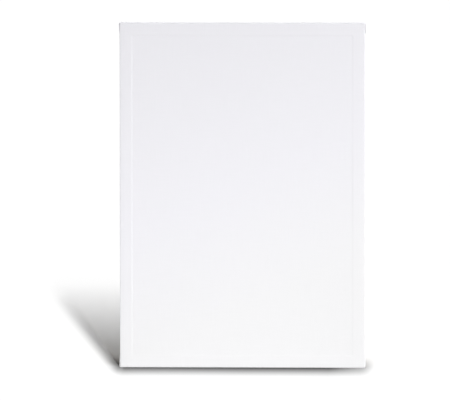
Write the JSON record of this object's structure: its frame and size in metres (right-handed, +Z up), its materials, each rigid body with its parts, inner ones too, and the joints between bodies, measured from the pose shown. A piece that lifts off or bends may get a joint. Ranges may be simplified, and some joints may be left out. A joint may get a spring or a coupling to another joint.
{
  "type": "stretched canvas",
  "caption": "Blank primed cotton canvas on a keyed pine stretcher frame, with folded corners, stapled back margins and wedge keys that spread the mitred corners to tighten the cloth.",
  "frame": {"origin": "middle of the bottom edge of the canvas, at half its depth", "axes": "+Z up along the canvas's height, +X along its width to the right as seen from the front, and +Y from the painting side to the back"},
  "size_m": [0.4224, 0.0208, 0.594],
  "materials": {
    "pine": "planed, unfinished",
    "beech": "sawn, unfinished",
    "primed_cotton": "matt white acrylic primer over a plain weave",
    "staple_wire": "galvanised"
  },
  "bodies": {
    "canvas": {"canvas": "primed_cotton"},
    "top_bar": {"top_bar": "pine", "top_staples": "staple_wire"},
    "right_bar": {"right_bar": "pine", "right_staples": "staple_wire", "top_right_fold_staples": "staple_wire", "bottom_right_fold_staples": "staple_wire"},
    "bottom_bar": {"bottom_bar": "pine", "bottom_staples": "staple_wire"},
    "left_bar": {"left_bar": "pine", "left_staples": "staple_wire", "top_left_fold_staples": "staple_wire", "bottom_left_fold_staples": "staple_wire"},
    "top_left_key_across": {"top_left_key_across": "beech"},
    "top_right_key_across": {"top_right_key_across": "beech"},
    "bottom_right_key_across": {"bottom_right_key_across": "beech"},
    "bottom_left_key_across": {"bottom_left_key_across": "beech"},
    "top_left_key_up": {"top_left_key_up": "beech"},
    "top_right_key_up": {"top_right_key_up": "beech"},
    "bottom_right_key_down": {"bottom_right_key_down": "beech"},
    "bottom_left_key_down": {"bottom_left_key_down": "beech"}
  },
  "joints": [
    {"name": "left_bar_spread", "type": "slide", "parent": "canvas", "child": "left_bar", "axis": [-1, 0, 0], "range_m": [0, 0.0006]},
    {"name": "right_bar_spread", "type": "slide", "parent": "canvas", "child": "right_bar", "axis": [1, 0, 0], "range_m": [0, 0.0006]},
    {"name": "top_bar_spread", "type": "slide", "parent": "canvas", "child": "top_bar", "axis": [0, 0, 1], "range_m": [0, 0.0006]},
    {"name": "bottom_bar_spread", "type": "slide", "parent": "canvas", "child": "bottom_bar", "axis": [0, 0, -1], "range_m": [0, 0.0006]},
    {"name": "top_left_key_across_drive", "type": "slide", "parent": "top_bar", "child": "top_left_key_across", "axis": [-1, 0, 0], "range_m": [0, 0.0036]},
    {"name": "top_right_key_across_drive", "type": "slide", "parent": "top_bar", "child": "top_right_key_across", "axis": [1, 0, 0], "range_m": [0, 0.0036]},
    {"name": "bottom_right_key_across_drive", "type": "slide", "parent": "bottom_bar", "child": "bottom_right_key_across", "axis": [1, 0, 0], "range_m": [0, 0.0036]},
    {"name": "bottom_left_key_across_drive", "type": "slide", "parent": "bottom_bar", "child": "bottom_left_key_across", "axis": [-1, 0, 0], "range_m": [0, 0.0036]},
    {"name": "top_left_key_up_drive", "type": "slide", "parent": "left_bar", "child": "top_left_key_up", "axis": [0, 0, 1], "range_m": [0, 0.0036]},
    {"name": "top_right_key_up_drive", "type": "slide", "parent": "right_bar", "child": "top_right_key_up", "axis": [0, 0, 1], "range_m": [0, 0.0036]},
    {"name": "bottom_right_key_down_drive", "type": "slide", "parent": "right_bar", "child": "bottom_right_key_down", "axis": [0, 0, -1], "range_m": [0, 0.0036]},
    {"name": "bottom_left_key_down_drive", "type": "slide", "parent": "left_bar", "child": "bottom_left_key_down", "axis": [0, 0, -1], "range_m": [0, 0.0036]}
  ],
  "couplings": [
    {"joint": "right_bar_spread", "follows": "left_bar_spread", "ratio": 1},
    {"joint": "top_bar_spread", "follows": "left_bar_spread", "ratio": 1},
    {"joint": "bottom_bar_spread", "follows": "left_bar_spread", "ratio": 1},
    {"joint": "top_left_key_across_drive", "follows": "left_bar_spread", "ratio": 6},
    {"joint": "top_right_key_across_drive", "follows": "left_bar_spread", "ratio": 6},
    {"joint": "bottom_right_key_across_drive", "follows": "left_bar_spread", "ratio": 6},
    {"joint": "bottom_left_key_across_drive", "follows": "left_bar_spread", "ratio": 6},
    {"joint": "top_left_key_up_drive", "follows": "left_bar_spread", "ratio": 6},
    {"joint": "top_right_key_up_drive", "follows": "left_bar_spread", "ratio": 6},
    {"joint": "bottom_right_key_down_drive", "follows": "left_bar_spread", "ratio": 6},
    {"joint": "bottom_left_key_down_drive", "follows": "left_bar_spread", "ratio": 6}
  ]
}
